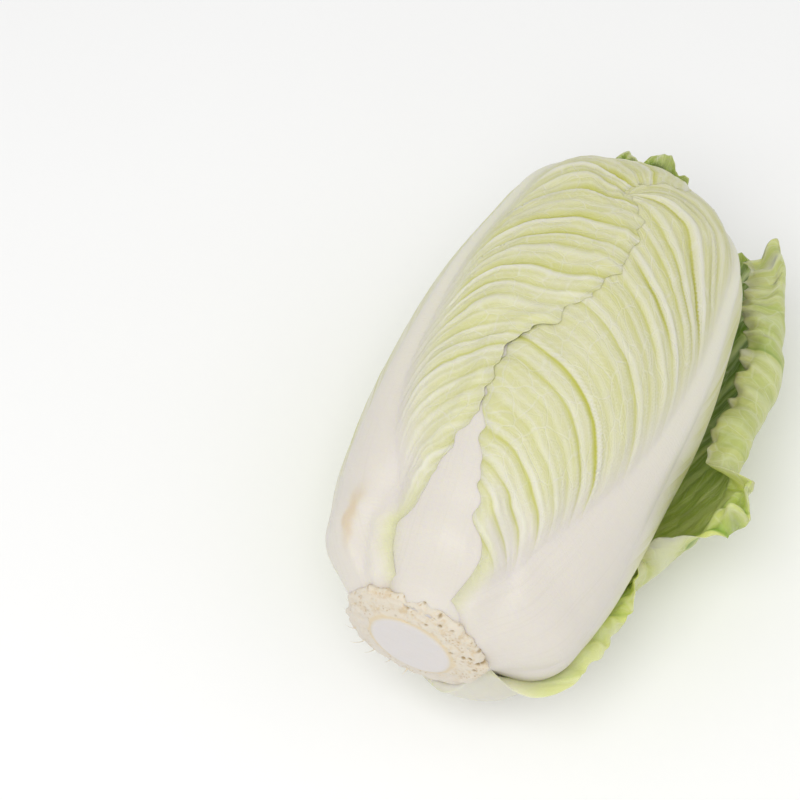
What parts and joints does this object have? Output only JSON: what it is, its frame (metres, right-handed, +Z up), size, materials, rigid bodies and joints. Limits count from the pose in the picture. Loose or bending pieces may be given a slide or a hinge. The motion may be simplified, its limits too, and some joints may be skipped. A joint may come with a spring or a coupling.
{
  "type": "napa cabbage",
  "caption": "Napa cabbage head lying on its side, with wrapped pale outer leaves, a trimmed stem butt and a loose green outer leaf.",
  "frame": {"origin": "on the small flat spot that the head rests on, below the middle of the head's length", "axes": "+Y along the head from the cut stem to the leaf tips, +Z up"},
  "size_m": [0.1732, 0.2881, 0.1567],
  "materials": {
    "stem": "matt, dry cut butt with porous trimmed leaf bases; packed core above it",
    "inner_leaf_right": "satin leaf tissue with a white rib",
    "inner_leaf_left": "satin leaf tissue with a white rib",
    "centre_leaf": "satin, waxy white petiole and pale leaf tissue",
    "right_leaf": "satin, waxy white petiole and pale yellow-green leaf tissue",
    "left_leaf": "satin, waxy white petiole and pale yellow-green leaf tissue",
    "under_leaf": "satin, crinkled mid-green leaf tissue with a white rib",
    "loose_leaf": "satin, crinkled mid-green leaf tissue with pale veins and a white rib"
  },
  "bodies": {
    "root": {"stem": "stem", "inner_leaf_right": "inner_leaf_right", "inner_leaf_left": "inner_leaf_left", "centre_leaf": "centre_leaf", "right_leaf": "right_leaf", "left_leaf": "left_leaf", "under_leaf": "under_leaf", "loose_leaf": "loose_leaf"}
  },
  "joints": []
}
